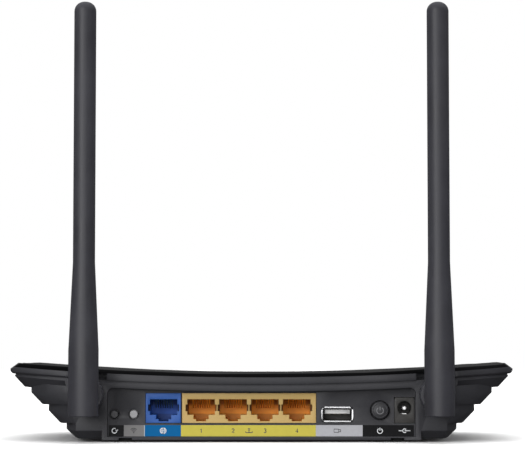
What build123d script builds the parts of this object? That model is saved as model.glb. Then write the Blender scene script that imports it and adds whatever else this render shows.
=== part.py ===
"""Desktop wireless router with two hinged, screw-on aerials.

Frame: +Z up and the table at Z = 0; the port panel faces -Y; +X is to the right seen from behind.
The origin is under the middle of the whole object, aerials included. All lengths are millimetres.
A depth is measured forwards (+Y) from the rear wall, and a reach backwards (-Y) from it.
"""
from build123d import *
import math
import os

os.makedirs("parts", exist_ok=True)

# ---------------------------------------------------------------- driving dimensions
width = 230.0
depth = 144.0
half_width = width / 2
aerial_reach = 16.0          # aerial axis behind the rear wall
rod_base_radius = 6.5
rear_y = aerial_reach + rod_base_radius - (depth + aerial_reach + rod_base_radius) / 2

boat_radius = 1300.0         # the body curves up towards both sides along this arc
cover_top = 30.0             # heights on the centre line of the curved levels
cover_bottom = 28.05
frame_bottom = 25.1
base_top = 24.2
layer_1_bottom = 19.65
recess_top = 21.97

layer_2_bottom = 16.2        # flat levels of the stepped wings
layer_3_bottom = 8.1
layer_4_bottom = 1.4
pedestal_bottom = 0.95
floor_top = 4.1

layer_insets = (2.1, 9.8, 18.0, 26.4)
frame_chamfer = 0.8
layer_1_chamfer = 4.2
wing_chamfer = 5.0
foot_chamfer = 3.6

wall = 2.2
recess_depth = 4.0
panel_back = 6.0
recess_half_width = 67.2
recess_floor = 2.3
recess_corner = 2.6

pcb_bottom = 6.6
pcb_top = 8.2
pcb_half_width = 71.5
pcb_rear = 6.6
pcb_front = 106.0

aerial_x = 76.2
aerial_z = 20.5
rod_top = 190.3
rod_foot = 11.5
rod_tip_radius = 4.75
taper_start = 39.9
taper_end = 77.8


# ---------------------------------------------------------------- shared shapes
def rise(x):
    """Height gained by the boat curve at x."""
    return x * x / (2 * boat_radius)


def rear_plane(at_depth):
    """Upright plane that faces backwards; its local axes are X and Z."""
    return Plane.XZ.offset(-(rear_y + at_depth))


def y_at(at_depth):
    return rear_y + at_depth


def plan_outline(inset, rear=0.0):
    """Plan of the body, drawn in by inset at the sides and front and by rear at the back."""
    shoulder = (110.8 - inset, y_at(14.0 - 0.25 * inset + rear))
    flat_end = (min(86.0 - 0.2 * inset, shoulder[0] - 2.0), y_at(rear))
    widest = (half_width - inset, y_at(65.0))
    side_end = (111.0 - inset, y_at(116.0 - 0.6 * inset))
    corner = (107.4 - 0.95 * inset, y_at(128.5 - 0.85 * inset))
    front_end = (97.0 - 0.9 * inset, y_at(135.0 - inset))
    front = y_at(depth - inset)
    front_middle = (front_end[0] / 2, front - (front - front_end[1]) / 4)
    with BuildSketch() as plan:
        with BuildLine():
            Line((0, y_at(rear)), flat_end)
            SagittaArc(flat_end, shoulder, -0.09 * (shoulder[0] - flat_end[0]))
            ThreePointArc(shoulder, widest, side_end)
            ThreePointArc(side_end, corner, front_end)
            ThreePointArc(front_end, front_middle, (0, front))
            mirror(about=Plane.YZ)
        make_face()
    return plan.sketch


def boat_band(low, high):
    """Section across the body between two boat curves, given by their heights at the middle."""
    reach = half_width + 5
    lift = rise(reach)
    with BuildSketch(Plane.XZ) as band:
        with BuildLine():
            ThreePointArc((-reach, low + lift), (0, low), (reach, low + lift))
            Line((reach, low + lift), (reach, high + lift))
            ThreePointArc((reach, high + lift), (0, high), (-reach, high + lift))
            Line((-reach, high + lift), (-reach, low + lift))
        make_face()
    return band.sketch


def boat_slab(inset, low, high, rear=0.0):
    """Prism of the plan between two boat curves."""
    with BuildPart() as slab:
        with BuildSketch():
            add(plan_outline(inset, rear))
        extrude(amount=cover_top + rise(half_width) + 10)
        with BuildSketch(Plane.XZ):
            add(boat_band(low, high))
        extrude(amount=2 * depth, both=True, mode=Mode.INTERSECT)
    return slab.part


def flat_slab(inset, low, high, rear=0.0):
    """Prism of the plan between two flat levels."""
    with BuildPart() as slab:
        with BuildSketch(Plane.XY.offset(low)):
            add(plan_outline(inset, rear))
        extrude(amount=high - low)
    return slab.part


def not_on_rear(edge):
    return edge.center().Y > y_at(0.5)


def both_sides(x):
    return (-x, x)


def block(x, at_depth, z, mode=Mode.ADD):
    """Box between two x values, two depths and two heights, in the current part."""
    middle = ((x[0] + x[1]) / 2, y_at((at_depth[0] + at_depth[1]) / 2), (z[0] + z[1]) / 2)
    with Locations(middle):
        Box(x[1] - x[0], at_depth[1] - at_depth[0], z[1] - z[0], mode=mode)


def disc(x, z, radius, at_depth, mode=Mode.ADD):
    """Cylinder along Y between two depths, in the current part."""
    with Locations(Location((x, y_at((at_depth[0] + at_depth[1]) / 2), z), (90, 0, 0))):
        Cylinder(radius, at_depth[1] - at_depth[0], mode=mode)


def post(x, at_depth, radius, z, mode=Mode.ADD):
    """Upright cylinder between two heights, in the current part."""
    with Locations((x, y_at(at_depth), (z[0] + z[1]) / 2)):
        Cylinder(radius, z[1] - z[0], mode=mode)


def write(part, name):
    part.label = name
    export_step(part, "parts/" + name + ".step")


# ---------------------------------------------------------------- top cover and upper frame
skirt_x = 109.5              # outside this the cover turns down over the frame's edge
skirt_drop = (half_width + 3, 31.1)
bevel_across = 3.8
bevel_down = 3.1
led_depth = 101.0
led_pitch = 9.0
led_count = 9
led_hole_radius = 1.2
screw_x = 76.0
screw_depths = (28.0, 92.0)
screw_spots = [(x, d) for x in both_sides(screw_x) for d in screw_depths]
frame_plate = 1.8
notch_x = 75.5
notch_half_width = 8.1
notch_depth = 5.0
lip_thickness = 1.3
lip_gap = 0.2


def led_positions():
    return [((i - (led_count - 1) / 2) * led_pitch, y_at(led_depth)) for i in range(led_count)]


def parting_region():
    """Everything above the surface that parts the cover from the frame."""
    side_z = cover_bottom + rise(skirt_x)
    with BuildPart() as region:
        with BuildSketch(Plane.XZ):
            with BuildLine():
                ThreePointArc((-skirt_x, side_z), (0, cover_bottom), (skirt_x, side_z))
                Line((skirt_x, side_z), skirt_drop)
                Line(skirt_drop, (skirt_drop[0], 60))
                Line((skirt_drop[0], 60), (-skirt_drop[0], 60))
                Line((-skirt_drop[0], 60), (-skirt_drop[0], skirt_drop[1]))
                Line((-skirt_drop[0], skirt_drop[1]), (-skirt_x, side_z))
            make_face()
        extrude(amount=2 * depth, both=True)
    return region.part


upper_form = boat_slab(0.0, frame_bottom, cover_top)
with BuildPart() as bevelled_form:
    add(upper_form)
    top_face = bevelled_form.faces().filter_by(lambda f: f.normal_at().Z > 0.9).sort_by(Axis.Z)[-1]
    bevel_edges = [e for e in top_face.edges() if e.center().Y > y_at(12)]
    chamfer(bevel_edges, length=bevel_across, length2=bevel_down, reference=top_face)
    lower_face = bevelled_form.faces().filter_by(lambda f: f.normal_at().Z < -0.9).sort_by(Axis.Z)[0]
    chamfer(lower_face.edges().filter_by(not_on_rear), length=frame_chamfer)

with BuildPart() as top_cover:
    add(bevelled_form.part)
    add(parting_region(), mode=Mode.INTERSECT)
    with BuildSketch(Plane.XY.offset(cover_bottom - 1)):
        with Locations(*led_positions()):
            Circle(led_hole_radius)
    extrude(amount=12, mode=Mode.SUBTRACT)
write(top_cover.part, "top_cover")

boss_radius = 3.6
boss_bottom = 12.1
boss_pilot = 1.25
base_rim_inset = 5.3
lip_inset = base_rim_inset + lip_gap
lip_rear = panel_back + 0.4
lip_drop = 2.0
with BuildPart() as upper_frame:
    add(bevelled_form.part)
    add(parting_region(), mode=Mode.SUBTRACT)
    add(boat_slab(wall, base_top - 10, cover_bottom - frame_plate, wall), mode=Mode.SUBTRACT)
    # locating lip that drops inside the base's rim
    add(boat_slab(lip_inset, base_top - lip_drop, cover_bottom - frame_plate, lip_rear))
    add(boat_slab(lip_inset + lip_thickness, base_top - 5, cover_bottom - frame_plate,
                  lip_rear + lip_thickness), mode=Mode.SUBTRACT)
    # clearance notches for the aerials in the rear band
    with BuildSketch(rear_plane(-1)):
        for x in both_sides(notch_x):
            with Locations((x, frame_bottom + 1.9)):
                Rectangle(2 * notch_half_width, 9.0)
    extrude(amount=-(notch_depth + 1), mode=Mode.SUBTRACT)
    for x, at_depth in screw_spots:
        post(x, at_depth, boss_radius, (boss_bottom, cover_bottom - frame_plate + rise(screw_x) + 0.5))
    for x, at_depth in screw_spots:
        post(x, at_depth, boss_pilot, (boss_bottom, boss_bottom + 9), Mode.SUBTRACT)
    for x, y in led_positions():
        post(x, y - rear_y, led_hole_radius, (boss_bottom, 40), Mode.SUBTRACT)
write(upper_frame.part, "upper_frame")

# ---------------------------------------------------------------- port layout on the rear panel
wan_span = (-50.6, -35.25)
wan_centre = -42.78
lan_span = (-34.7, 23.8)
lan_pitch = 13.94
lan_centres = [-26.39 + i * lan_pitch for i in range(4)]
jack_top = 21.15
jack_front = 3.8
jack_length = 18.0
socket_depth = 14.0
usb_x = 33.16
usb_z = 11.9
power_centre = (51.7, 13.72)
dc_span = (58.14, 66.79)
dc_centre = (62.47, 14.66)
dc_top = 19.25
small_button_z = 11.98
wps_x = -64.2
wireless_x = -55.8
gap = 0.2

foot_x = 59.2
foot_depths = (10.0, 100.0)
foot_radius = 4.9
foot_spots = [(x, d) for x in both_sides(foot_x) for d in foot_depths]
standoff_spots = [(x, d) for x in both_sides(66.0) for d in (24.0, 98.0)]
keyhole_x = 50.0
keyhole_depth = 60.0
keyhole_entry = 4.0
keyhole_slot = 2.0
keyhole_run = 8.0

# ---------------------------------------------------------------- bottom housing
with BuildPart() as layer_1:
    add(boat_slab(layer_insets[0], layer_1_bottom, base_top))
    under = layer_1.faces().filter_by(lambda f: f.normal_at().Z < -0.9).sort_by(Axis.Z)[0]
    chamfer(under.edges().filter_by(not_on_rear), length=layer_1_chamfer)


def wing_layer(inset, low, high, cut, rear_cut=0.0):
    """Flat layer whose foot is bevelled at 45 degrees at the sides and front."""
    with BuildPart() as layer:
        with BuildSketch(Plane.XY.offset(low)):
            add(plan_outline(inset + cut, rear_cut))
        with BuildSketch(Plane.XY.offset(low + cut)):
            add(plan_outline(inset))
        loft(ruled=True)
        with BuildSketch(Plane.XY.offset(low + cut)):
            add(plan_outline(inset))
        extrude(amount=high - low - cut)
    return layer.part


def arched_panel(half, bottom, top, at_depth, thickness, corner=0.0):
    """Upright plate whose top edge follows the boat curve, reaching forwards from a depth."""
    with BuildPart() as panel:
        with BuildSketch(rear_plane(at_depth)):
            with BuildLine():
                Line((-half, bottom), (half, bottom))
                Line((half, bottom), (half, top + rise(half)))
                ThreePointArc((half, top + rise(half)), (0, top), (-half, top + rise(half)))
                Line((-half, top + rise(half)), (-half, bottom))
            shape = make_face()
            if corner > 0:
                fillet(shape.vertices().group_by(Axis.Y)[-1], corner)
        extrude(amount=-thickness)
    return panel.part


block_half_width = recess_half_width + wall
cavity_steps = ((13.5, 19.5), (20.6, 12.3), (28.7, floor_top))
with BuildPart() as inner_room:
    # stepped like the outside, and open at the top
    add(boat_slab(base_rim_inset, base_top - lip_drop - 0.4, base_top + 15, 3.0))
    add(boat_slab(8.0, layer_1_bottom + wall, base_top + 15, wall))
    for inset, low in cavity_steps:
        add(flat_slab(inset, low, 60, wall))

# the second layer's top runs up into the curved first one, and stops just above its underside
with BuildPart() as layer_2:
    add(wing_layer(layer_insets[1], layer_2_bottom, layer_1_bottom + rise(half_width) + 1, wing_chamfer))
    add(boat_slab(0.0, layer_2_bottom - rise(half_width) - 2, layer_1_bottom + 2), mode=Mode.INTERSECT)

with BuildPart() as bottom_housing:
    add(layer_1.part)
    add(layer_2.part)
    add(wing_layer(layer_insets[2], layer_3_bottom, layer_2_bottom + 1, wing_chamfer))
    add(wing_layer(layer_insets[3], layer_4_bottom, layer_3_bottom + 1, foot_chamfer, foot_chamfer))
    # rim that stands in the parting groove
    add(boat_slab(layer_insets[0] + 0.2, base_top - 0.1, frame_bottom, 0.8))
    add(inner_room.part, mode=Mode.SUBTRACT)
    # rear block that holds the port panel, and the shallow pedestal under the body
    add(arched_panel(block_half_width, pedestal_bottom, base_top, 0, panel_back))
    add(arched_panel(block_half_width, pedestal_bottom, frame_bottom - 0.02, 0.8, panel_back - 0.8))
    block((-66, 66), (0, 108), (pedestal_bottom, layer_4_bottom + 0.1))
    add(arched_panel(recess_half_width, recess_floor, recess_top, -1, recess_depth + 1, recess_corner),
        mode=Mode.SUBTRACT)
    # openings in the port panel
    through = (recess_depth - 1, panel_back + 1)
    block((wan_span[0] - gap, wan_span[1] + gap), through, (pcb_top - gap, jack_top + gap), Mode.SUBTRACT)
    block((lan_span[0] - gap, lan_span[1] + gap), through, (pcb_top - gap, jack_top + gap), Mode.SUBTRACT)
    block((usb_x - 6.75, usb_x + 6.75), through, (usb_z - 3.1, usb_z + 3.1), Mode.SUBTRACT)
    block((dc_span[0] - gap, dc_span[1] + gap), through, (pcb_top - gap, dc_top + gap), Mode.SUBTRACT)
    disc(power_centre[0], power_centre[1], 4.36, through, Mode.SUBTRACT)
    for x in (wps_x, wireless_x):
        disc(x, small_button_z, 2.1, through, Mode.SUBTRACT)
        disc(x, small_button_z, 2.4, (recess_depth - 1, recess_depth + 0.5), Mode.SUBTRACT)
    # aerial connector holes
    for x in both_sides(aerial_x):
        disc(x, aerial_z, 3.25, (-1, wall + 1), Mode.SUBTRACT)
    # screw posts, board standoffs
    for x, at_depth in screw_spots:
        post(x, at_depth, boss_radius + 0.4, (floor_top - 0.5, boss_bottom - 0.1))
    for x, at_depth in standoff_spots:
        post(x, at_depth, 3.0, (floor_top - 0.5, pcb_bottom))
    for x, at_depth in screw_spots:
        post(x, at_depth, 3.1, (0, 5.0), Mode.SUBTRACT)
        post(x, at_depth, 1.6, (0, boss_bottom), Mode.SUBTRACT)
    for x, at_depth in standoff_spots:
        post(x, at_depth, 1.0, (2.6, pcb_bottom), Mode.SUBTRACT)
    # pockets for the rubber feet, open to the rear
    for x, at_depth in foot_spots:
        post(x, at_depth, foot_radius + 0.2, (0, 2.9), Mode.SUBTRACT)
        block((x - 2.95, x + 2.95), (-1, 7) if at_depth < 50 else (at_depth, 109), (0, 1.8), Mode.SUBTRACT)
    # cooling slots and wall-hanging keyholes
    with BuildSketch():
        with Locations((0, y_at(52))):
            with GridLocations(5.4, 26, 13, 2):
                SlotOverall(20, 1.9, rotation=90)
        for x in both_sides(keyhole_x):
            with Locations((x, y_at(keyhole_depth))):
                Circle(keyhole_entry)
            with Locations((x, y_at(keyhole_depth + keyhole_run / 2))):
                SlotCenterToCenter(keyhole_run, 2 * keyhole_slot, rotation=90)
    extrude(amount=floor_top + 0.5, mode=Mode.SUBTRACT)
write(bottom_housing.part, "bottom_housing")

with BuildPart() as rubber_feet:
    for x, at_depth in foot_spots:
        post(x, at_depth, foot_radius, (0, 2.9))
    chamfer(rubber_feet.faces().filter_by(Axis.Z).group_by(Axis.Z)[0].edges(), 0.5)
write(rubber_feet.part, "rubber_feet")

with BuildPart() as housing_screws:
    for x, at_depth in screw_spots:
        post(x, at_depth, 2.8, (3.2, 5.0))
        post(x, at_depth, 1.25, (5.0, 20.0))
        post(x, at_depth, 1.0, (3.1, 4.2), Mode.SUBTRACT)
write(housing_screws.part, "housing_screws")

with BuildPart() as rating_label:
    block((-30, 30), (84, 104), (pedestal_bottom - 0.15, pedestal_bottom))
write(rating_label.part, "rating_label")

with BuildPart() as port_label:
    block((-66.5, 66.5), (recess_depth - 0.3, recess_depth), (2.41, 7.28))
write(port_label.part, "port_label")

# ---------------------------------------------------------------- circuit board and what is on it
with BuildPart() as main_pcb:
    block((-pcb_half_width, pcb_half_width), (pcb_rear, pcb_front), (pcb_bottom, pcb_top))
    fillet(main_pcb.edges().filter_by(Axis.Z), 2.0)
    for x, at_depth in standoff_spots:
        post(x, at_depth, 1.5, (0, 10), Mode.SUBTRACT)
write(main_pcb.part, "main_pcb")

with BuildPart() as pcb_screws:
    for x, at_depth in standoff_spots:
        post(x, at_depth, 2.3, (pcb_top, pcb_top + 1.6))
        post(x, at_depth, 1.0, (3.2, pcb_top + 0.1))
    chamfer(pcb_screws.faces().filter_by(Axis.Z).group_by(Axis.Z)[-1].edges(), 0.5)
    for x, at_depth in standoff_spots:
        post(x, at_depth, 0.8, (pcb_top + 0.8, pcb_top + 2), Mode.SUBTRACT)
write(pcb_screws.part, "pcb_screws")

socket_low = 11.76
socket_high = 18.5


def cut_socket(x):
    """Stepped opening of one network socket, latch side down."""
    depths = (jack_front - 1, jack_front + socket_depth)
    block((x - 6.0, x + 6.0), depths, (socket_low, socket_high), Mode.SUBTRACT)
    block((x - 3.32, x + 3.32), depths, (9.87, socket_low + 1), Mode.SUBTRACT)
    block((x - 2.19, x + 2.19), depths, (8.93, socket_low + 1), Mode.SUBTRACT)
    block((x - 6.75, x + 6.75), (jack_front - 1, jack_front + 9), (13.4, 16.24), Mode.SUBTRACT)


def network_socket(span, centres):
    with BuildPart() as housing:
        block(span, (jack_front, jack_front + jack_length), (pcb_top, jack_top))
        for x in centres:
            cut_socket(x)
    return housing.part


wire_width = 0.45
wire_thickness = 0.35
wire_pitch = 1.02


def spring_wires(centres):
    """Eight spring contacts for each socket, anchored under its ceiling and sloping down inside."""
    ceiling = socket_high - wire_thickness / 2
    with BuildPart() as wires:
        for x in centres:
            for i in range(8):
                with BuildSketch(Plane.YZ.offset(x + (i - 3.5) * wire_pitch - wire_width / 2)):
                    with BuildLine():
                        Polyline((y_at(jack_front + socket_depth), ceiling),
                                 (y_at(jack_front + 2.2), ceiling),
                                 (y_at(jack_front + 7.5), ceiling - 3.6))
                    trace(line_width=wire_thickness)
                extrude(amount=wire_width)
    return wires.part


write(network_socket(wan_span, [wan_centre]), "wan_socket_housing")
write(spring_wires([wan_centre]), "wan_socket_contacts")
write(network_socket(lan_span, lan_centres), "lan_socket_housing")
write(spring_wires(lan_centres), "lan_socket_contacts")

with BuildPart() as usb_shell:
    block((usb_x - 6.98, usb_x + 6.98), (3.4, 3.9), (usb_z - 3.52, usb_z + 3.52))
    chamfer(usb_shell.edges().filter_by(Axis.Y), 1.6)
    block((usb_x - 6.55, usb_x + 6.55), (3.9, 17.5), (usb_z - 2.86, usb_z + 2.86))
    block((usb_x - 6.25, usb_x + 6.25), (3.0, 18), (usb_z - 2.56, usb_z + 2.56), Mode.SUBTRACT)
    for dx in (-5.5, 5.5):
        block((usb_x + dx - 0.6, usb_x + dx + 0.6), (9, 11), (pcb_top, usb_z - 2.6))
write(usb_shell.part, "usb_shell")

with BuildPart() as usb_tongue:
    block((usb_x - 6.25, usb_x + 6.25), (15.5, 17.5), (usb_z - 2.56, usb_z + 2.56))
    block((usb_x - 5.55, usb_x + 5.55), (6.4, 15.5), (usb_z + 0.3, usb_z + 2.1))
write(usb_tongue.part, "usb_tongue")

with BuildPart() as usb_contacts:
    for dx in (-3.5, -1.0, 1.0, 3.5):
        block((usb_x + dx - 0.5, usb_x + dx + 0.5), (7.0, 15.4),
              (usb_z + 0.05, usb_z + 0.3))
write(usb_contacts.part, "usb_contacts")

dc_bore_radius = 3.1
with BuildPart() as dc_socket_housing:
    block(dc_span, (jack_front, 17.8), (pcb_top, dc_top))
    chamfer(dc_socket_housing.edges().filter_by(Axis.Y).group_by(Axis.Z)[-1], 0.5)
    disc(dc_centre[0], dc_centre[1], dc_bore_radius, (jack_front - 1, 13.8), Mode.SUBTRACT)
    block((dc_centre[0] - 1.7, dc_centre[0] + 1.7), (jack_front, 13.8), (11.0, 12.05))
write(dc_socket_housing.part, "dc_socket_housing")

with BuildPart() as dc_socket_pin:
    disc(dc_centre[0], dc_centre[1], 0.98, (5.2, 13.8))
    chamfer(dc_socket_pin.faces().sort_by(Axis.Y)[0].edges(), 0.3)
write(dc_socket_pin.part, "dc_socket_pin")

with BuildPart() as dc_socket_spring:
    block((dc_centre[0] - 1.0, dc_centre[0] + 1.0), (6.5, 13.8), (12.05, 12.35))
write(dc_socket_spring.part, "dc_socket_spring")

with BuildPart() as power_button:
    disc(power_centre[0], power_centre[1], 3.9, (2.0, 6.6))
    fillet(power_button.faces().sort_by(Axis.Y)[0].edges(), 0.8)
    disc(power_centre[0], power_centre[1], 3.0, (1.5, 2.3), Mode.SUBTRACT)
    disc(power_centre[0], power_centre[1], 2.75, (2.05, 2.6))
    disc(power_centre[0], power_centre[1], 5.0, (6.4, 7.4))
    disc(power_centre[0], power_centre[1], 1.6, (7.4, 16.0))
write(power_button.part, "power_button")

with BuildPart() as power_switch:
    block((power_centre[0] - 4.25, power_centre[0] + 4.25), (12.5, 24.0), (pcb_top, 17.6))
    disc(power_centre[0], power_centre[1], 1.95, (12.0, 20.0), Mode.SUBTRACT)
write(power_switch.part, "power_switch")


def small_button(x):
    with BuildPart() as button:
        disc(x, small_button_z, 1.75, (3.0, 6.6))
        fillet(button.faces().sort_by(Axis.Y)[0].edges(), 0.4)
        disc(x, small_button_z, 2.6, (6.4, 7.2))
        disc(x, small_button_z, 0.9, (7.2, 11.0))
    return button.part


write(small_button(wps_x), "reset_button")
write(small_button(wireless_x), "wireless_button")

with BuildPart() as tact_switches:
    for x in (wps_x, wireless_x):
        block((x - 3.0, x + 3.0), (9.2, 13.2), (pcb_top, 14.9))
        disc(x, small_button_z, 1.3, (9.0, 12.2), Mode.SUBTRACT)
write(tact_switches.part, "tact_switches")


def chip(x, at_depth, size, height, base=pcb_top):
    block((x - size[0] / 2, x + size[0] / 2), (at_depth - size[1] / 2, at_depth + size[1] / 2),
          (base, base + height))


with BuildPart() as line_transformers:
    chip(wan_centre, 31, (12.7, 9.4), 5.6)
    for x in (-19.0, 8.0):
        chip(x, 31, (24.0, 9.8), 5.9)
    chamfer(line_transformers.edges().filter_by(Axis.X).group_by(Axis.Z)[-1], 0.5)
write(line_transformers.part, "line_transformers")

processor_spot = (14.0, 62.0)
with BuildPart() as main_processor:
    chip(*processor_spot, (17.0, 17.0), 1.4)
write(main_processor.part, "main_processor")

with BuildPart() as thermal_pad:
    chip(*processor_spot, (16.0, 16.0), 0.8, pcb_top + 1.4)
write(thermal_pad.part, "thermal_pad")

sink_side = 28.0
sink_base = pcb_top + 2.2
with BuildPart() as heat_sink:
    chip(*processor_spot, (sink_side, sink_side), 2.0, sink_base)
    for i in range(8):
        x = processor_spot[0] - sink_side / 2 + 0.6 + i * (sink_side - 1.2) / 7
        chip(x, processor_spot[1], (1.2, sink_side), 8.0, sink_base)
write(heat_sink.part, "heat_sink")

with BuildPart() as switch_chip:
    chip(-12.0, 52.0, (14.0, 14.0), 1.2)
write(switch_chip.part, "switch_chip")

with BuildPart() as memory_chips:
    chip(42.0, 60.0, (10.6, 13.0), 1.1)
    chip(22.0, 84.0, (5.3, 8.0), 1.8)
write(memory_chips.part, "memory_chips")


def shield_can(x, at_depth, size):
    """Thin drawn cover open towards the board."""
    with BuildPart() as can:
        chip(x, at_depth, size, 2.8)
        fillet(can.edges().filter_by(Axis.Z), 1.0)
        inner = (size[0] - 0.8, size[1] - 0.8)
        block((x - inner[0] / 2, x + inner[0] / 2), (at_depth - inner[1] / 2, at_depth + inner[1] / 2),
              (pcb_top, pcb_top + 2.4), Mode.SUBTRACT)
    return can.part


write(shield_can(-40.0, 64.0, (34.0, 28.0)), "radio_shield_left")
write(shield_can(42.0, 88.5, (30.0, 16.0)), "radio_shield_right")

with BuildPart() as capacitors:
    for x, at_depth in ((57.0, 31.5), (47.5, 31.5), (38.0, 27.5), (30.0, 45.0)):
        post(x, at_depth, 3.15, (pcb_top, pcb_top + 9.0))
    fillet(capacitors.faces().filter_by(Axis.Z).group_by(Axis.Z)[-1].edges(), 0.5)
write(capacitors.part, "capacitors")

with BuildPart() as power_inductors:
    for x, at_depth in ((56.0, 45.0), (47.0, 45.0)):
        chip(x, at_depth, (7.2, 7.2), 4.0)
    chamfer(power_inductors.edges().filter_by(Axis.Z), 1.5)
write(power_inductors.part, "power_inductors")

with BuildPart() as crystal:
    chip(-8.0, 70.0, (11.0, 4.6), 3.5)
    fillet(crystal.edges().filter_by(Axis.Z), 2.2)
write(crystal.part, "crystal")

with BuildPart() as status_leds:
    for x, y in led_positions():
        chip(x, y - rear_y, (2.0, 1.3), 0.8)
write(status_leds.part, "status_leds")

pipe_radius = 1.05
bar_low = 22.0
with BuildPart() as light_pipe:
    reach = (led_count - 1) / 2 * led_pitch + 2
    block((-reach, reach), (led_depth - 1.5, led_depth + 1.5), (bar_low, bar_low + 2))
    for x, y in led_positions():
        post(x, led_depth, pipe_radius, (pcb_top + 1.2, cover_top + rise(x) - 0.1))
write(light_pipe.part, "light_pipe")

# ---------------------------------------------------------------- aerial connectors and pigtails
barrel_radius = 3.175
barrel_end = -4.8
cable_radius = 0.66
cable_start = 9.5
plug_spot = (64.0, 60.0)


def connector(x):
    """Threaded bulkhead barrel, flanged inside the wall, with a crimp tail for the cable."""
    with BuildPart() as body:
        disc(x, aerial_z, barrel_radius, (barrel_end, wall + 0.5))
        chamfer(body.faces().sort_by(Axis.Y)[0].edges(), 0.4)
        disc(x, aerial_z, 5.0, (wall, wall + 1.5))
        disc(x, aerial_z, 2.4, (wall + 1.5, 8.0))
        disc(x, aerial_z, 1.5, (8.0, cable_start))
        disc(x, aerial_z, 1.1, (barrel_end - 1, 1.5), Mode.SUBTRACT)
    return body.part


def pigtail(side):
    """Thin coaxial lead from the connector's tail to its plug on the board."""
    route = [(aerial_x, cable_start, aerial_z), (aerial_x, 14.0, aerial_z), (70.0, 21.5, 19.6),
             (67.5, 32.0, 17.2), (65.8, 43.0, 12.8), (plug_spot[0], 51.0, 9.6), (plug_spot[0], 57.6, 9.6)]
    points = [Vector(side * x, y_at(d), z) for x, d, z in route]
    radii = []
    for before, here, after in zip(points, points[1:], points[2:]):
        turn = math.radians((here - before).get_angle(after - here))
        radii.append(0.45 * min((here - before).length, (after - here).length) / math.tan(turn / 2))
    with BuildPart() as lead:
        with BuildLine():
            FilletPolyline(*points, radius=radii)
        with BuildSketch(Plane(points[0], z_dir=points[1] - points[0])):
            Circle(cable_radius)
        sweep()
    return lead.part


for side, name in ((-1, "left"), (1, "right")):
    write(connector(side * aerial_x), name + "_connector")
    write(pigtail(side), name + "_pigtail")

with BuildPart() as connector_washers:
    for x in both_sides(aerial_x):
        disc(x, aerial_z, 4.9, (-0.4, 0))
        disc(x, aerial_z, barrel_radius + 0.05, (-1, 1), Mode.SUBTRACT)
write(connector_washers.part, "connector_washers")

with BuildPart() as connector_nuts:
    with BuildSketch(rear_plane(-0.4)):
        for x in both_sides(aerial_x):
            with Locations((x, aerial_z)):
                RegularPolygon(4.0, 6, major_radius=False)
                Circle(barrel_radius, mode=Mode.SUBTRACT)
    extrude(amount=1.8)
write(connector_nuts.part, "connector_nuts")

with BuildPart() as pigtail_plugs:
    for x in both_sides(plug_spot[0]):
        post(x, plug_spot[1], 1.6, (pcb_top, pcb_top + 2.4))
        block((x - 0.9, x + 0.9), (57.6, plug_spot[1]), (pcb_top + 0.5, pcb_top + 2.3))
write(pigtail_plugs.part, "pigtail_plugs")

# ---------------------------------------------------------------- aerials
running_gap = 0.05
nut_radius = 7.8
nut_span = (-6.4, -0.4)
ferrule_radius = 2.9
spigot_radius = 1.85
tongue_half = 2.5
slot_half = 2.8
knuckle_radius = 4.5
hinge_pin_radius = 1.5
heel_radius = 9.2
bore_radius = 2.4
bore_low = 27.5


def aerial_nut(x):
    """Knurled collar that screws onto the connector barrel."""
    with BuildPart() as nut:
        disc(x, aerial_z, nut_radius, nut_span)
        chamfer(nut.faces().filter_by(Axis.Y).edges(), 0.6)
        with BuildSketch(rear_plane(nut_span[0] - 1)):
            with Locations((x, aerial_z)):
                with PolarLocations(nut_radius + 0.25, 20):
                    Circle(0.6)
        extrude(amount=-8, mode=Mode.SUBTRACT)
        disc(x, aerial_z, 5.2, (-2.6, 0), Mode.SUBTRACT)
        disc(x, aerial_z, barrel_radius + running_gap, (-5.6, 0), Mode.SUBTRACT)
        disc(x, aerial_z, ferrule_radius + running_gap, (-8, 0), Mode.SUBTRACT)
    return nut.part


def aerial_ferrule(x):
    """Inner sleeve of the plug: it slides with the nut and carries the centre contact."""
    with BuildPart() as ferrule:
        disc(x, aerial_z, 3.1, (-5.5, -5.1))
        disc(x, aerial_z, ferrule_radius, (-6.7, -5.5))
        disc(x, aerial_z, spigot_radius + running_gap, (-7, -5.4), Mode.SUBTRACT)
        disc(x, aerial_z, 0.6, (-5.1, -1.2))
    return ferrule.part


def aerial_elbow(x):
    """Spigot that turns in the ferrule, and the flat tongue of the hinge."""
    with BuildPart() as elbow:
        disc(x, aerial_z, spigot_radius, (-6.9, -5.5))
        block((x - tongue_half, x + tongue_half), (-aerial_reach, -6.85), (aerial_z - 4.0, aerial_z + 4.0))
        with Locations(Location((x, y_at(-aerial_reach), aerial_z), (0, 90, 0))):
            Cylinder(knuckle_radius, 2 * tongue_half)
            Cylinder(hinge_pin_radius + running_gap, 2 * tongue_half, mode=Mode.SUBTRACT)
    return elbow.part


def aerial_hinge_pin(x):
    with BuildPart() as pin:
        with Locations(Location((x, y_at(-aerial_reach), aerial_z), (0, 90, 0))):
            Cylinder(hinge_pin_radius, 11.2)
        chamfer(pin.edges(), 0.25)
    return pin.part


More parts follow.
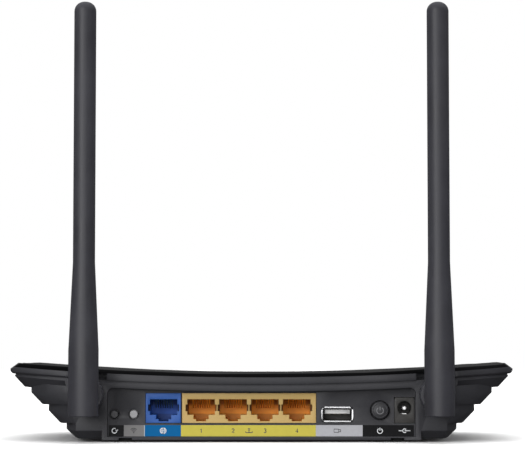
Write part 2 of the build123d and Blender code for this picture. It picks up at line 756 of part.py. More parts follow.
def aerial_rod(x):
    """Hollow rod: slotted foot with a rounded heel, long taper, domed tip."""
    y = y_at(-aerial_reach)
    with BuildPart() as rod:
        with BuildSketch(Plane.XZ):
            with BuildLine():
                Polyline((0, rod_foot), (rod_base_radius, rod_foot), (rod_base_radius, taper_start),
                         (rod_tip_radius, taper_end), (rod_tip_radius, rod_top), (0, rod_top), close=True)
            outline = make_face()
            fillet(outline.vertices().group_by(Axis.Y)[-1].sort_by(Axis.X)[-1], 4.2)
        revolve(axis=Axis.Z)
        fillet(rod.faces().sort_by(Axis.Z)[0].edges(), 0.4)
    with BuildPart() as heel:
        with Locations(Location((0, 0, aerial_z), (0, 90, 0))):
            Cylinder(heel_radius, 20)
        with Locations((0, -10, aerial_z)):
            Box(20, 20, 40)
        with Locations((0, 0, rod_top / 2 + aerial_z)):
            Box(20, 20, rod_top)
    with BuildPart() as finished:
        add(rod.part)
        add(heel.part, mode=Mode.INTERSECT)
        with Locations((0, 10 - 4.8, (rod_foot + aerial_z + 4.8) / 2 - 1)):
            Box(2 * slot_half, 20, aerial_z + 4.8 - rod_foot + 2, mode=Mode.SUBTRACT)
        with Locations(Location((0, 0, aerial_z), (0, 90, 0))):
            Cylinder(hinge_pin_radius, 11.2, mode=Mode.SUBTRACT)
        with Locations((0, 0, (bore_low + 184) / 2)):
            Cylinder(bore_radius, 184 - bore_low, mode=Mode.SUBTRACT)
    return Pos(x, y, 0) * finished.part


def aerial_radiator(x):
    """Coaxial sleeve dipole standing in the rod's bore."""
    at = -aerial_reach
    with BuildPart() as radiator:
        post(x, at, 1.0, (bore_low, 176))
        post(x, at, 2.2, (bore_low, 34))
        post(x, at, 2.0, (92, 122))
        post(x, at, 2.0, (150, 168))
    return radiator.part


for side, name in ((-1, "left"), (1, "right")):
    x = side * aerial_x
    write(aerial_nut(x), name + "_aerial_nut")
    write(aerial_ferrule(x), name + "_aerial_ferrule")
    write(aerial_elbow(x), name + "_aerial_elbow")
    write(aerial_hinge_pin(x), name + "_hinge_pin")
    write(aerial_rod(x), name + "_aerial_rod")
    write(aerial_radiator(x), name + "_radiator")
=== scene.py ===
"""Looks of the wireless router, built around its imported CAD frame. Metres; the port panel faces -Y."""
import math
import random
import bmesh
import bpy
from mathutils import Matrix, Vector
from mathutils.bvhtree import BVHTree


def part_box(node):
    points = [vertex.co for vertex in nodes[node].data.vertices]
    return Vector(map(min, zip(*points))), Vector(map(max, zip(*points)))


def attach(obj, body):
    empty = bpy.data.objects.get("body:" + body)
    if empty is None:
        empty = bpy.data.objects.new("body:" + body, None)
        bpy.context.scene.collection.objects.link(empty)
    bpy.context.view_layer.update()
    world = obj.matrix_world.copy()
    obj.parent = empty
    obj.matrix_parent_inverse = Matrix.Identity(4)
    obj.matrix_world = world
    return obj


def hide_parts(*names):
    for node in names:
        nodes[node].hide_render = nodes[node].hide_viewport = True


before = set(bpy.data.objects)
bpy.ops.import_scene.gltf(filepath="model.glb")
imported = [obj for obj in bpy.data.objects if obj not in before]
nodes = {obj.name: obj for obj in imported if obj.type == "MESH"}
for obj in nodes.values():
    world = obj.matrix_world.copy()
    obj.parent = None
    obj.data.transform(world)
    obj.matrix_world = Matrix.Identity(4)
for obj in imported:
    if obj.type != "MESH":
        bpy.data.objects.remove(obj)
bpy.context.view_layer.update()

MM = 0.001
SOCKET_PITCH = 13.94 * MM
WELD_GAP = 0.000002


def centre(box):
    """Middle of a box given by its lowest and highest corners."""
    low, high = box
    return (low + high) / 2


# ---------------------------------------------------------------- shader helpers
class Shader:
    """One material's node tree, with short calls for the nodes that the looks below share."""

    def __init__(self, name):
        self.material = bpy.data.materials.new(name)
        self.material.use_nodes = True
        self.tree = self.material.node_tree
        self.bsdf = self.tree.nodes["Principled BSDF"]
        self.coords = self.add("ShaderNodeTexCoord").outputs["Object"]

    def add(self, kind, **settings):
        node = self.tree.nodes.new(kind)
        for key, value in settings.items():
            setattr(node, key, value)
        return node

    def link(self, source, target):
        self.tree.links.new(source, target)

    def put(self, socket, value):
        """Links a node's output to a socket, or sets a plain value on it."""
        if isinstance(value, bpy.types.NodeSocket):
            self.link(value, socket)
        else:
            socket.default_value = value

    def set(self, **values):
        for key, value in values.items():
            self.put(self.bsdf.inputs[key.replace("_", " ")], value)

    def noise(self, per_mm, detail=3.0, roughness=0.55, stretch=(1, 1, 1)):
        """Noise with that many features to a millimetre."""
        mapping = self.add("ShaderNodeMapping")
        mapping.inputs["Scale"].default_value = [1000 * per_mm * s for s in stretch]
        self.link(self.coords, mapping.inputs["Vector"])
        tex = self.add("ShaderNodeTexNoise")
        tex.inputs["Scale"].default_value = 1.0
        tex.inputs["Detail"].default_value = detail
        tex.inputs["Roughness"].default_value = roughness
        self.link(mapping.outputs[0], tex.inputs["Vector"])
        return tex.outputs["Fac"]

    def cells(self, per_mm, feature="F1"):
        mapping = self.add("ShaderNodeMapping")
        mapping.inputs["Scale"].default_value = [1000 * per_mm] * 3
        self.link(self.coords, mapping.inputs["Vector"])
        tex = self.add("ShaderNodeTexVoronoi", feature=feature)
        tex.inputs["Scale"].default_value = 1.0
        self.link(mapping.outputs[0], tex.inputs["Vector"])
        return tex.outputs["Distance"]

    def ramp(self, value, low, high, start=0.0, end=1.0):
        node = self.add("ShaderNodeMapRange")
        self.link(value, node.inputs["Value"])
        node.inputs["From Min"].default_value = low
        node.inputs["From Max"].default_value = high
        node.inputs["To Min"].default_value = start
        node.inputs["To Max"].default_value = end
        return node.outputs["Result"]

    def math(self, operation, a, b):
        node = self.add("ShaderNodeMath", operation=operation)
        self.put(node.inputs[0], a)
        self.put(node.inputs[1], b)
        return node.outputs[0]

    def mix(self, factor, a, b):
        node = self.add("ShaderNodeMix", data_type="RGBA")
        self.put(node.inputs["Factor"], factor)
        self.put(node.inputs[6], a if isinstance(a, bpy.types.NodeSocket) else rgba(a))
        self.put(node.inputs[7], b if isinstance(b, bpy.types.NodeSocket) else rgba(b))
        return node.outputs[2]

    def axis(self, name):
        node = self.add("ShaderNodeSeparateXYZ")
        self.link(self.coords, node.inputs[0])
        return node.outputs[name]

    def bump(self, height, depth_mm, strength=0.5):
        node = self.add("ShaderNodeBump")
        node.inputs["Strength"].default_value = strength
        node.inputs["Distance"].default_value = depth_mm * MM
        self.link(height, node.inputs["Height"])
        self.link(node.outputs[0], self.bsdf.inputs["Normal"])

    def edge_wear(self, low=0.52, high=0.6):
        """1 along convex edges, 0 on flats."""
        return self.ramp(self.add("ShaderNodeNewGeometry").outputs["Pointiness"], low, high)


def rgba(colour):
    return (*colour, 1.0)


def plastic(name, colour, roughness, grain_per_mm=3.0, grain_depth=0.02, spread=0.18, specular=0.5):
    """Moulded plastic: fine spark-eroded grain, faint flow marks, slightly polished edges."""
    s = Shader(name)
    flow = s.noise(0.05, 4.0)
    grain = s.noise(grain_per_mm, 2.0)
    dark = [c * (1 - spread) for c in colour]
    light = [min(1.0, c * (1 + spread)) for c in colour]
    body = s.mix(s.ramp(flow, 0.3, 0.7), dark, light)
    speck = s.mix(s.ramp(grain, 0.45, 0.75, 0.0, 0.25), body, [min(1.0, c * 1.6 + 0.004) for c in colour])
    s.set(Base_Color=speck, Specular_IOR_Level=specular)
    worn = s.math("MULTIPLY", s.edge_wear(), 0.12)
    uneven = s.ramp(flow, 0.3, 0.7, roughness - 0.03, roughness + 0.05)
    s.set(Roughness=s.math("SUBTRACT", uneven, worn))
    s.bump(grain, grain_depth, 0.6)
    return s.material


def metal(name, colour, roughness, brushed=(1, 1, 12), per_mm=1.2):
    """Plated or bright metal with fine drawn lines and slight tarnish."""
    s = Shader(name)
    lines = s.noise(per_mm, 3.0, 0.6, brushed)
    patches = s.noise(0.12, 3.0)
    tint = s.mix(s.ramp(patches, 0.35, 0.7), [c * 0.86 for c in colour], colour)
    s.set(Base_Color=tint, Metallic=1.0)
    s.set(Roughness=s.ramp(lines, 0.3, 0.7, roughness * 0.7, roughness * 1.4))
    s.bump(lines, 0.004)
    return s.material


# ---------------------------------------------------------------- materials
shell_black = plastic("shell_black", (0.036, 0.036, 0.041), 0.54, 3.2, 0.022, specular=0.3)
cover_edge = plastic("cover_edge_black", (0.012, 0.012, 0.013), 0.6, 4.0, 0.006, specular=0.12)
aerial_black = plastic("aerial_black", (0.036, 0.036, 0.043), 0.45, 4.0, 0.010, specular=0.35)
rubber = plastic("rubber_black", (0.020, 0.020, 0.020), 0.85, 1.5, 0.05)
button_black = plastic("button_black", (0.030, 0.030, 0.034), 0.42, 5.0, 0.006, specular=0.35)
button_grey = plastic("button_grey", (0.34, 0.34, 0.35), 0.42, 5.0, 0.006, 0.05)
pale_plastic = plastic("pale_plastic", (0.86, 0.86, 0.84), 0.4, 4.0, 0.006, 0.04)
inlet_black = plastic("inlet_black", (0.050, 0.048, 0.046), 0.55, 4.0, 0.010, specular=0.3)
chip_black = plastic("chip_black", (0.022, 0.022, 0.024), 0.6, 8.0, 0.01)
ferrite = plastic("ferrite_grey", (0.055, 0.055, 0.06), 0.7, 5.0, 0.02)
pad_grey = plastic("pad_grey", (0.25, 0.29, 0.34), 0.8, 2.0, 0.02, 0.1)
jacket = plastic("cable_jacket", (0.02, 0.02, 0.02), 0.45, 3.0, 0.01)
steel = metal("zinc_steel", (0.52, 0.53, 0.55), 0.32)
bright_steel = metal("bright_steel", (0.90, 0.90, 0.91), 0.45)
tin = metal("tin_plate", (0.62, 0.62, 0.63), 0.36, (10, 1, 1))
aluminium = metal("sink_aluminium", (0.70, 0.71, 0.73), 0.38, (1, 10, 1))
gold = metal("gold_contact", (0.86, 0.63, 0.25), 0.2)
brass = metal("gold_plated_brass", (0.78, 0.60, 0.27), 0.25)
# Painted shade: contact metal coloured dark bronze for the shade the USB contacts sit in.
shaded_contact = metal("shaded_contact", (0.16, 0.13, 0.09), 0.5)


def gloss_material():
    """Piano-black cover: deep gloss with faint orange peel, dust and hairline marks."""
    s = Shader("cover_gloss_black")
    dust = s.noise(6.0, 2.0)
    cloud = s.noise(0.03, 3.0)
    hair = s.noise(0.25, 2.0, 0.5, (1, 14, 1))
    specks = s.ramp(dust, 0.66, 0.8, 0.0, 0.35)
    s.set(Base_Color=s.mix(specks, (0.0045, 0.0045, 0.0055), (0.03, 0.03, 0.034)))
    s.set(Roughness=s.ramp(s.math("ADD", s.math("MULTIPLY", hair, 0.5), cloud), 0.5, 1.0, 0.16, 0.24))
    s.set(Specular_IOR_Level=0.25)
    s.bump(s.noise(0.35, 1.0), 0.004)
    return s.material


def band_mask(s, coordinate, low, high, soft=0.05 * MM):
    """1 between two positions, 0 outside."""
    rise = s.ramp(coordinate, low - soft, low + soft)
    fall = s.ramp(coordinate, high - soft, high + soft, 1.0, 0.0)
    return s.math("MULTIPLY", rise, fall)


def label_material():
    """Printed strip under the ports: a zone of colour under each group, black at both ends."""
    s = Shader("port_label_print")
    x = s.axis("X")
    ink = s.noise(0.4, 3.0)
    colour = s.mix(s.ramp(ink, 0.3, 0.7), (0.006, 0.006, 0.007), (0.009, 0.009, 0.010))
    left_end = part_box("port_label")[0].x
    grey_start, line_start = left_end + 6.42 * MM, left_end + 15.25 * MM
    blue_start, yellow_start = left_end + 15.55 * MM, left_end + 31.35 * MM
    pale_start, pale_end = left_end + 90.22 * MM, left_end + 110.65 * MM
    grey, white, blue = (0.22, 0.215, 0.215), (0.55, 0.60, 0.62), (0.001, 0.125, 0.34)
    yellow, pale = (0.60, 0.52, 0.085), (0.46, 0.46, 0.49)
    zones = ((grey_start, line_start, grey), (line_start, blue_start, white),
             (blue_start, yellow_start, blue), (yellow_start, pale_start, yellow),
             (pale_start, pale_end, pale))
    for start, end, zone in zones:
        shade = s.mix(s.ramp(ink, 0.3, 0.7), [c * 0.95 for c in zone], zone)
        colour = s.mix(band_mask(s, x, start, end), colour, shade)
    s.set(Base_Color=colour, Roughness=s.ramp(ink, 0.3, 0.7, 0.40, 0.50), Specular_IOR_Level=0.08)
    s.bump(s.noise(2.5, 2.0), 0.006)
    return s.material


def socket_material(name, node, count, front, inner_lit, deep_shaded):
    """Network sockets: pale face; inside, the plastic's colour made stronger and brighter as painted light
    for light passing through it, with painted shade deeper in, under the contacts, at the latch step and
    darkest in the side ears.
    """
    s = Shader(name)
    low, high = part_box(node)
    first = (low.x + high.x) / 2 - (count - 1) * SOCKET_PITCH / 2
    grain = s.noise(4.0, 2.0)
    inside = s.ramp(s.axis("Y"), low.y + 0.15 * MM, low.y + 0.45 * MM)
    # painted shade: the inside gets darker deeper into the socket
    depth_shade = s.ramp(s.axis("Y"), low.y + 1.0 * MM, low.y + 12.0 * MM)
    steps = s.math("DIVIDE", s.math("SUBTRACT", s.axis("X"), first), SOCKET_PITCH)
    off_centre = s.math("ABSOLUTE", s.math("SUBTRACT", steps, s.math("ROUND", steps, 0.0)), 0.0)
    # painted shade masks: the side ears, the roof under the contacts and the latch step
    ear_shade = s.ramp(off_centre, 5.85 * MM / SOCKET_PITCH, 6.05 * MM / SOCKET_PITCH)
    ceiling_shade = s.ramp(s.axis("Z"), low.z + 7.0 * MM, low.z + 8.2 * MM)
    latch_shade = s.ramp(s.axis("Z"), low.z + 3.5 * MM, low.z + 3.9 * MM, 1.0, 0.0)
    face = s.mix(s.ramp(grain, 0.4, 0.7), [c * 0.94 for c in front], front)
    # painted shade: darker with depth, under the contacts, at the latch step and nearly black in the ears
    room = s.mix(depth_shade, inner_lit, deep_shaded)
    room = s.mix(s.math("MULTIPLY", ceiling_shade, 0.75), room, [c * 0.25 for c in deep_shaded])
    room = s.mix(s.math("MULTIPLY", latch_shade, 0.5), room, [c * 0.25 for c in deep_shaded])
    room = s.mix(s.math("MULTIPLY", ear_shade, 0.9), room, [c * 0.06 for c in deep_shaded])
    s.set(Base_Color=s.mix(inside, face, room), Roughness=s.ramp(grain, 0.3, 0.7, 0.40, 0.5))
    s.set(Specular_IOR_Level=0.2)
    s.bump(grain, 0.006)
    return s.material


def usb_metal():
    """Bright plated shell, with painted shade inside: near black from about half a millimetre in."""
    s = Shader("usb_nickel")
    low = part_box("usb_shell")[0]
    lines = s.noise(1.2, 3.0, 0.6, (12, 1, 1))
    # painted shade: the shell's inside is coloured near black past its front edge
    inside = s.ramp(s.axis("Y"), low.y + 0.5 * MM, low.y + 1.5 * MM)
    bright = s.mix(s.ramp(lines, 0.3, 0.7), (0.32, 0.32, 0.33), (0.40, 0.40, 0.41))
    s.set(Base_Color=s.mix(inside, bright, (0.035, 0.033, 0.03)), Metallic=1.0)
    s.set(Roughness=s.ramp(lines, 0.3, 0.7, 0.22, 0.36))
    s.bump(lines, 0.004)
    return s.material


def usb_tongue_material():
    """Pale tongue above the contacts; painted shade below it, where the block behind and below is coloured
    near black.
    """
    s = Shader("usb_tongue_plastic")
    contact_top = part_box("usb_contacts")[1].z
    grain = s.noise(4.0, 2.0)
    # painted shade: below the contacts' top the tongue's block is coloured near black
    pale = s.ramp(s.axis("Z"), contact_top - 0.1 * MM, contact_top + 0.1 * MM)
    light = s.mix(s.ramp(grain, 0.4, 0.7), (0.72, 0.72, 0.72), (0.80, 0.80, 0.80))
    s.set(Base_Color=s.mix(pale, (0.035, 0.033, 0.030), light))
    s.set(Roughness=s.ramp(grain, 0.3, 0.7, 0.38, 0.46))
    s.bump(grain, 0.006)
    return s.material


def board_material():
    """Solder mask with tracks and vias showing through."""
    s = Shader("board_green")
    tracks = s.add("ShaderNodeTexBrick")
    mapping = s.add("ShaderNodeMapping")
    mapping.inputs["Scale"].default_value = (330, 330, 330)
    s.link(s.coords, mapping.inputs["Vector"])
    s.link(mapping.outputs[0], tracks.inputs["Vector"])
    tracks.inputs["Scale"].default_value = 1.0
    tracks.inputs["Mortar Size"].default_value = 0.03
    vias = s.ramp(s.cells(0.35), 0.08, 0.12, 1.0, 0.0)
    mask = s.mix(tracks.outputs["Fac"], (0.006, 0.085, 0.030), (0.012, 0.16, 0.055))
    s.set(Base_Color=s.mix(vias, mask, (0.5, 0.42, 0.2)))
    s.set(Roughness=s.ramp(s.noise(0.5), 0.3, 0.7, 0.3, 0.42))
    s.bump(tracks.outputs["Fac"], 0.03)
    return s.material


def clear_material():
    s = Shader("clear_acrylic")
    haze = s.noise(0.8, 2.0)
    s.set(Base_Color=s.mix(haze, (0.86, 0.89, 0.92), (0.95, 0.97, 0.98)))
    s.set(IOR=1.49, Transmission_Weight=0.85)
    s.set(Roughness=s.ramp(haze, 0.3, 0.7, 0.06, 0.16))
    s.bump(haze, 0.004)
    return s.material


def paper_material():
    s = Shader("blank_label_paper")
    fibre = s.noise(1.6, 4.0)
    s.set(Base_Color=s.mix(fibre, (0.66, 0.66, 0.64), (0.78, 0.78, 0.75)))
    s.set(Roughness=s.ramp(fibre, 0.3, 0.7, 0.5, 0.62))
    s.bump(fibre, 0.01)
    return s.material


nickel = usb_metal()
# painted light: each socket's inside colour is stronger and brighter than its face, standing in for light
# passing through the plastic
wan_blue = socket_material("socket_blue", "wan_socket_housing", 1, front=(0.042, 0.120, 0.40),
                           inner_lit=(0.03, 0.12, 0.52), deep_shaded=(0.03, 0.11, 0.48))
lan_yellow = socket_material("socket_yellow", "lan_socket_housing", 4, front=(0.58, 0.40, 0.15),
                             inner_lit=(1.0, 0.44, 0.06), deep_shaded=(1.0, 0.38, 0.04))
finish = {
    "top_cover": gloss_material(), "upper_frame": shell_black, "bottom_housing": shell_black,
    "rubber_feet": rubber, "housing_screws": steel, "pcb_screws": steel, "rating_label": paper_material(),
    "port_label": label_material(), "main_pcb": board_material(), "wan_socket_housing": wan_blue,
    "wan_socket_contacts": gold, "lan_socket_housing": lan_yellow, "lan_socket_contacts": gold,
    "usb_shell": nickel, "usb_tongue": usb_tongue_material(), "usb_contacts": shaded_contact,
    "dc_socket_housing": inlet_black, "dc_socket_pin": bright_steel, "dc_socket_spring": bright_steel,
    "power_button": button_black, "power_switch": chip_black, "reset_button": button_black,
    "wireless_button": button_grey, "tact_switches": chip_black, "line_transformers": chip_black,
    "main_processor": chip_black, "thermal_pad": pad_grey, "heat_sink": aluminium,
    "switch_chip": chip_black, "memory_chips": chip_black, "radio_shield_left": tin,
    "radio_shield_right": tin, "capacitors": aluminium, "power_inductors": ferrite, "crystal": tin,
    "status_leds": pale_plastic, "light_pipe": clear_material(),
    "connector_washers": brass, "connector_nuts": brass, "pigtail_plugs": brass,
}
for side in ("left", "right"):
    finish.update({
        side + "_connector": brass, side + "_pigtail": jacket, side + "_aerial_nut": aerial_black,
        side + "_aerial_ferrule": brass, side + "_aerial_elbow": aerial_black,
        side + "_hinge_pin": bright_steel, side + "_aerial_rod": aerial_black, side + "_radiator": brass,
    })


# ---------------------------------------------------------------- CAD nodes: finish, soft edges, curves
def smooth_group():
    """Geometry nodes: smooth shading, sharp where faces meet at more than 32 degrees."""
    group = bpy.data.node_groups.new("smooth_by_angle", "GeometryNodeTree")
    group.interface.new_socket("Geometry", in_out="INPUT", socket_type="NodeSocketGeometry")
    group.interface.new_socket("Geometry", in_out="OUTPUT", socket_type="NodeSocketGeometry")
    start = group.nodes.new("NodeGroupInput")
    end = group.nodes.new("NodeGroupOutput")
    faces = group.nodes.new("GeometryNodeSetShadeSmooth")
    faces.domain = "FACE"
    edges = group.nodes.new("GeometryNodeSetShadeSmooth")
    edges.domain = "EDGE"
    edges.inputs["Shade Smooth"].default_value = False
    angle = group.nodes.new("GeometryNodeInputMeshEdgeAngle")
    sharp = group.nodes.new("FunctionNodeCompare")
    sharp.inputs["B"].default_value = math.radians(32)
    group.links.new(start.outputs[0], faces.inputs["Geometry"])
    group.links.new(faces.outputs["Geometry"], edges.inputs["Geometry"])
    group.links.new(angle.outputs["Unsigned Angle"], sharp.inputs["A"])
    group.links.new(sharp.outputs["Result"], edges.inputs["Selection"])
    group.links.new(edges.outputs["Geometry"], end.inputs[0])
    return group


SMOOTH = smooth_group()


def soften(piece, width_mm):
    """Rounds a piece's sharp edges and smooths its curved faces, with modifiers only."""
    weld = piece.modifiers.new("weld", "WELD")
    weld.merge_threshold = WELD_GAP
    if width_mm:
        bevel = piece.modifiers.new("edge_round", "BEVEL")
        bevel.width = width_mm * MM
        bevel.segments = 2
        bevel.limit_method = "ANGLE"
        bevel.angle_limit = math.radians(38)
        bevel.harden_normals = False
        bevel.miter_outer = "MITER_ARC"
    smooth = piece.modifiers.new("smooth", "NODES")
    smooth.node_group = SMOOTH


edge_widths_mm = {
    "bottom_housing": 0.25, "upper_frame": 0.2, "top_cover": 0.2, "power_button": 0.1,
    "wan_socket_housing": 0.12, "lan_socket_housing": 0.12, "usb_shell": 0.08, "dc_socket_housing": 0.12,
    "rubber_feet": 0.2, "main_pcb": 0.1, "usb_tongue": 0.1,
}
for side in ("left", "right"):
    edge_widths_mm.update(
        {side + "_aerial_nut": 0.15, side + "_aerial_elbow": 0.25, side + "_aerial_rod": 0.2})
for name, piece in nodes.items():
    piece.data.materials.clear()
    piece.data.materials.append(finish[name])
    soften(piece, edge_widths_mm.get(name, 0.0))


# ---------------------------------------------------------------- the cover's folded facets
def joined(name, build, material, body, covers=()):
    """Makes a mesh piece from a bmesh-filling function, with its material and body; hides the CAD parts it
    stands in for.
    """
    mesh = bpy.data.meshes.new(name)
    form = bmesh.new()
    build(form)
    bmesh.ops.recalc_face_normals(form, faces=form.faces)
    form.to_mesh(mesh)
    form.free()
    piece = bpy.data.objects.new(name, mesh)
    bpy.context.scene.collection.objects.link(piece)
    mesh.materials.append(material)
    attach(piece, body)
    if covers:
        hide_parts(*covers)
    return piece


def cover_height():
    """The smooth cover's height over x, read off the CAD surface."""
    form = bmesh.new()
    form.from_mesh(nodes["top_cover"].data)
    tree = BVHTree.FromBMesh(form)
    form.free()
    low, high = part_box("top_cover")
    y = low.y + 0.3 * (high.y - low.y)
    probe = 0.4 * (high.x - low.x)
    middle = tree.ray_cast(Vector((0, y, 1)), Vector((0, 0, -1)))[0].z
    outer = tree.ray_cast(Vector((probe, y, 1)), Vector((0, 0, -1)))[0].z
    return lambda x: middle + (outer - middle) * (x / probe) ** 2


def facet_sheet(form):
    """Thick block whose underside is a low lattice of triangles, a little below the smooth cover."""
    dice = random.Random(11)
    low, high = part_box("top_cover")
    lights_low, lights_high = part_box("light_pipe")
    height = cover_height()
    across, along = 26 * MM, 13 * MM
    dips = [0.08 * MM, 0.30 * MM, 0.50 * MM, 0.62 * MM]
    dip_at_lights = 0.06 * MM
    block_height = 30 * MM
    columns = int((high.x - low.x) / across) + 3
    rows = int((high.y - low.y) / along) + 4
    grid = []
    for r in range(rows):
        line = []
        for c in range(columns):
            x = (c - (columns - 1) / 2 + (0.5 if r % 2 else 0.0)) * across + dice.uniform(-2.5, 2.5) * MM
            y = low.y - 1.5 * along + r * along + dice.uniform(-1.5, 1.5) * MM
            dip = dice.choice(dips) + dice.uniform(0, 0.06) * MM
            if lights_low.y - along < y < lights_high.y + along and abs(x) < lights_high.x + across:
                dip = dip_at_lights
            line.append(form.verts.new((x, y, height(x) - dip)))
        grid.append(line)
    for r in range(rows - 1):
        for c in range(columns - 1):
            a, b = grid[r][c], grid[r][c + 1]
            d, e = grid[r + 1][c], grid[r + 1][c + 1]
            halves = ((a, b, e), (a, e, d)) if r % 2 else ((a, b, d), (b, e, d))
            for corners in halves:
                form.faces.new(corners)
    lifted = bmesh.ops.extrude_face_region(form, geom=list(form.faces))["geom"]
    for part in lifted:
        if isinstance(part, bmesh.types.BMVert):
            part.co.z += block_height


def faceted_cover():
    """The CAD cover with its smooth top cut back to shallow flat facets, and duller plastic at its sides."""
    mesh = bpy.data.meshes.new("facet_cutter")
    form = bmesh.new()
    facet_sheet(form)
    bmesh.ops.recalc_face_normals(form, faces=form.faces)
    form.to_mesh(mesh)
    form.free()
    cutter = bpy.data.objects.new("facet_cutter", mesh)
    bpy.context.scene.collection.objects.link(cutter)

    def smooth_shell(shell):
        shell.from_mesh(nodes["top_cover"].data)
        bmesh.ops.remove_doubles(shell, verts=shell.verts, dist=WELD_GAP)

    cover = joined("faceted_cover", smooth_shell, finish["top_cover"], "root", ["top_cover"])
    cut = cover.modifiers.new("cut", "BOOLEAN")
    cut.operation = "DIFFERENCE"
    cut.solver = "EXACT"
    cut.object = cutter
    bpy.context.view_layer.update()
    done = bpy.data.meshes.new_from_object(cover.evaluated_get(bpy.context.evaluated_depsgraph_get()))
    cover.modifiers.clear()
    cover.data = done
    bpy.data.objects.remove(cutter)
    done.materials.append(cover_edge)
    steepest_facet = 0.6
    for face in done.polygons:
        face.use_smooth = abs(face.normal.z) < steepest_facet
        face.material_index = int(face.use_smooth)
    edge = cover.modifiers.new("edge_round", "BEVEL")
    edge.width = 0.12 * MM
    edge.segments = 2
    edge.limit_method = "ANGLE"
    edge.angle_limit = math.radians(35)
    return cover


# ---------------------------------------------------------------- printed marks
INK_DEPTH = 0.03 * MM


def stroke(form, points, width, front_y, closed=False):
    """Raised ink line through XZ points, facing -Y."""
    count = len(points)
    rails = []
    for i, here in enumerate(points):
        before = points[i - 1] if i or closed else here
        after = points[(i + 1) % count] if i < count - 1 or closed else here
        way = (Vector(after) - Vector(before)).normalized()
        side = Vector((-way.y, way.x)) * width / 2
        corners = [Vector(here) + side, Vector(here) - side]
        rails.append(
            [[form.verts.new((c.x, y, c.y)) for c in corners] for y in (front_y, front_y + INK_DEPTH)])
    for i in range(count if closed else count - 1):
        near, far = rails[i], rails[(i + 1) % count]
        form.faces.new((near[0][0], near[0][1], far[0][1], far[0][0]))
        form.faces.new((near[0][0], far[0][0], far[1][0], near[1][0]))
        form.faces.new((near[0][1], near[1][1], far[1][1], far[0][1]))
    if not closed:
        for end in (rails[0], rails[-1]):
            form.faces.new((end[0][0], end[1][0], end[1][1], end[0][1]))


def arc(middle, radius, start, end, steps=20):
    """Points along an arc between two angles in degrees."""
    angles = [math.radians(start + (end - start) * i / steps) for i in range(steps + 1)]
    return [(middle[0] + radius * math.cos(a), middle[1] + radius * math.sin(a)) for a in angles]


DIGIT_PATHS = {
    1: [[(-0.3, 0.55), (0.1, 1.0), (0.1, -1.0)]],
    2: [arc((0, 0.45), 0.55, 165, -25, 10) + [(-0.55, -0.95), (0.62, -0.95)]],
    3: [arc((0, 0.48), 0.5, 150, -80, 12), arc((0, -0.45), 0.56, 85, -150, 12)],
    4: [[(0.28, -1.0), (0.28, 1.0), (-0.62, -0.45), (0.68, -0.45)]],
}


def printed_marks():
    """Digits and plain pictograms on the port label, where the photograph has captions."""
    low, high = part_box("port_label")
    z = (low.z + high.z) / 2
    y = low.y - 0.02 * MM
    line = 0.36 * MM

    def draw(form, x, size_mm, paths, closed=False):
        for path in paths:
            points = [(x + px * size_mm * MM, z + pz * size_mm * MM) for px, pz in path]
            stroke(form, points, line, y, closed)

    def dark(form):
        lan = centre(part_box("lan_socket_housing")).x
        for digit, paths in DIGIT_PATHS.items():
            draw(form, lan + (digit - 2.5) * SOCKET_PITCH, 0.85, paths)
        draw(form, lan, 0.9, [[(-1.6, -0.9), (1.6, -0.9)], [(0, -0.9), (0, 0.1)],
                              [(-1.6, -0.9), (-1.6, -0.35)], [(1.6, -0.9), (1.6, -0.35)],
                              [(-0.55, 0.35), (0.55, 0.35)], [(-0.55, 0.95), (0.55, 0.95)]])
        usb = centre(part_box("usb_shell")).x
        draw(form, usb, 1.0, [[(-1.5, -0.7), (0.5, -0.7), (0.5, 0.7), (-1.5, 0.7)]], closed=True)
        draw(form, usb, 1.0, [[(0.5, -0.45), (1.4, -0.45), (1.4, 0.45), (0.5, 0.45)]])
        radio = centre(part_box("wireless_button")).x
        draw(form, radio, 1.0, [arc((0, -0.8), r, 45, 135, 10) for r in (0.65, 1.25, 1.85)])
        draw(form, radio, 1.0, [arc((0, -0.8), 0.12, 0, 330, 8)], closed=True)

    def light(form):
        globe = centre(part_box("wan_socket_housing")).x
        turns = [t * math.pi / 10 for t in range(20)]
        meridian = [(0.5 * math.cos(t), 1.25 * math.sin(t)) for t in turns]
        draw(form, globe, 1.0, [arc((0, 0), 1.25, 0, 345, 23), meridian], closed=True)
        draw(form, globe, 1.0, [[(-1.25, 0), (1.25, 0)]])
        power = centre(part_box("power_button")).x
        draw(form, power, 1.0, [arc((0, -0.1), 1.1, 120, 420, 18), [(0, 0.1), (0, 1.3)]])
        inlet = centre(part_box("dc_socket_housing")).x
        leads = [[(-3.0, 0), (-0.95, 0)], [(0, 0), (3.0, 0)]]
        draw(form, inlet, 0.85, [arc((0, 0), 0.95, 40, 320, 14), *leads])
        reset = centre(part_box("reset_button")).x
        draw(form, reset, 1.0, [arc((0, 0), 1.05, 60, 360, 18), [(0.45, 0.4), (1.05, 0.0), (1.6, 0.45)]])

    joined("label_marks_dark", dark, ink_dark, "root")
    joined("label_marks_light", light, ink_light, "root")


def button_symbol():
    """Power symbol on the round button's face."""
    low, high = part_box("power_button")
    x, z = (low.x + high.x) / 2, (low.z + high.z) / 2
    line = 0.3 * MM

    def build(form):
        stroke(form, arc((x, z - 0.1 * MM), 1.45 * MM, 125, 415, 22), line, low.y)
        stroke(form, [(x, z + 0.1 * MM), (x, z + 1.6 * MM)], line, low.y)

    joined("power_symbol", build, ink_grey, "power_button")


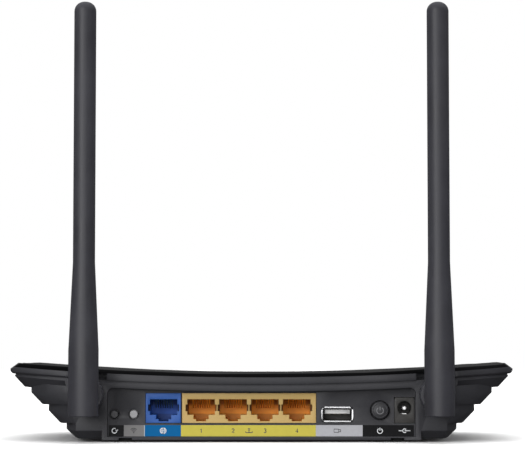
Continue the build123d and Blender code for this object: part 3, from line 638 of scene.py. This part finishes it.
ink_dark = plastic("ink_dark", (0.03, 0.03, 0.032), 0.5, 6.0, 0.003)
ink_light = plastic("ink_light", (0.74, 0.76, 0.78), 0.5, 6.0, 0.003, 0.05)
ink_grey = plastic("ink_grey", (0.16, 0.16, 0.17), 0.45, 6.0, 0.003, 0.08)
all_but_cover = bpy.data.collections.new("all_but_cover")
all_but_cover.objects.link(faceted_cover())
all_but_cover.collection_objects[0].light_linking.link_state = "EXCLUDE"
printed_marks()
button_symbol()


# ---------------------------------------------------------------- stage, light and camera
def floor_material():
    s = Shader("pale_floor")
    tone = s.noise(0.004, 3.0)
    s.set(Base_Color=s.mix(tone, (0.86, 0.86, 0.86), (0.90, 0.90, 0.90)))
    s.set(Roughness=s.ramp(tone, 0.3, 0.7, 0.55, 0.65))
    return s.material


def build_floor():
    mesh = bpy.data.meshes.new("studio_floor")
    grid = bmesh.new()
    bmesh.ops.create_grid(grid, x_segments=24, y_segments=24, size=6.0)
    grid.to_mesh(mesh)
    grid.free()
    floor = bpy.data.objects.new("studio_floor", mesh)
    bpy.context.scene.collection.objects.link(floor)
    mesh.materials.append(floor_material())
    floor.visible_diffuse = False
    floor.visible_glossy = False


def softbox(name, azimuth, elevation, distance, size, energy, lit=None):
    """Area light aimed at the router, azimuth counted from behind the camera.

    Given a light-linking collection, it lights only what that allows, and shows in shiny faces.
    """
    target = Vector((0, 0, 60 * MM))
    around, up = math.radians(azimuth), math.radians(elevation)
    away = Vector((math.sin(around) * math.cos(up), -math.cos(around) * math.cos(up), math.sin(up)))
    data = bpy.data.lights.new(name, "AREA")
    data.shape = "RECTANGLE"
    data.size, data.size_y = size
    data.energy = energy
    lamp = bpy.data.objects.new(name, data)
    lamp.visible_glossy = lit is not None
    lamp.location = target + away * distance
    lamp.rotation_euler = (-away).to_track_quat("-Z", "Y").to_euler()
    lamp.light_linking.receiver_collection = lit
    bpy.context.scene.collection.objects.link(lamp)


def sky_dome(strength):
    """Soft light from above, leaning in from beyond the router.

    It whitens the floor and leaves the faces towards the camera dark.
    """
    lean = -20
    data = bpy.data.lights.new("overhead", "SUN")
    data.energy = strength
    data.angle = math.radians(90)
    lamp = bpy.data.objects.new("overhead", data)
    lamp.visible_glossy = False
    lamp.rotation_euler = (math.radians(lean), 0, 0)
    bpy.context.scene.collection.objects.link(lamp)


def build_world():
    """White behind the object; for everything else a dim room that grows lighter overhead."""
    world = bpy.data.worlds.new("studio_world")
    bpy.context.scene.world = world
    world.use_nodes = True
    tree = world.node_tree
    background = tree.nodes["Background"]
    path = tree.nodes.new("ShaderNodeLightPath")
    coords = tree.nodes.new("ShaderNodeTexCoord")
    axes = tree.nodes.new("ShaderNodeSeparateXYZ")
    tree.links.new(coords.outputs["Generated"], axes.inputs[0])
    room = tree.nodes.new("ShaderNodeMapRange")
    tree.links.new(axes.outputs["Z"], room.inputs["Value"])
    room.inputs["From Min"].default_value = 0.12
    room.inputs["To Min"].default_value = 0.07
    room.inputs["To Max"].default_value = 0.55
    shade = tree.nodes.new("ShaderNodeMapRange")
    tree.links.new(path.outputs["Is Camera Ray"], shade.inputs["Value"])
    tree.links.new(room.outputs["Result"], shade.inputs["To Min"])
    shade.inputs["To Max"].default_value = 1.0
    tree.links.new(shade.outputs["Result"], background.inputs["Strength"])
    background.inputs["Color"].default_value = (1, 1, 1, 1)


def build_camera():
    """At the photograph's view: low behind the router, 0.9 m from the port panel, tilted up a little."""
    panel_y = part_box("port_label")[0].y + 0.3 * MM
    distance, height, aside = 900 * MM, 36 * MM, 0.44 * MM
    tilt_up = 3.742
    data = bpy.data.cameras.new("photo_camera")
    data.lens = 140.7
    data.sensor_width = 36.0
    data.clip_start = 0.01
    camera = bpy.data.objects.new("photo_camera", data)
    camera.location = (aside, panel_y - distance, height)
    camera.rotation_euler = (math.radians(90 + tilt_up), 0, 0)
    bpy.context.scene.collection.objects.link(camera)
    bpy.context.scene.camera = camera


build_floor()
build_world()
build_camera()
softbox("key_strip", -34, 18, 1.5, (0.7, 0.9), 9, all_but_cover)
softbox("front_fill", -10, 1, 1.15, (1.0, 0.45), 6, all_but_cover)
softbox("high_fill", 14, 48, 1.6, (1.3, 0.8), 3)
softbox("right_fill", 46, 6, 1.4, (0.5, 0.5), 4)
softbox("right_backdrop", 130, 6, 1.2, (0.7, 0.3), 5)
softbox("left_backdrop", -126, 6, 1.2, (0.7, 0.3), 3)
sky_dome(4.3)
bpy.context.scene.view_settings.view_transform = "Standard"
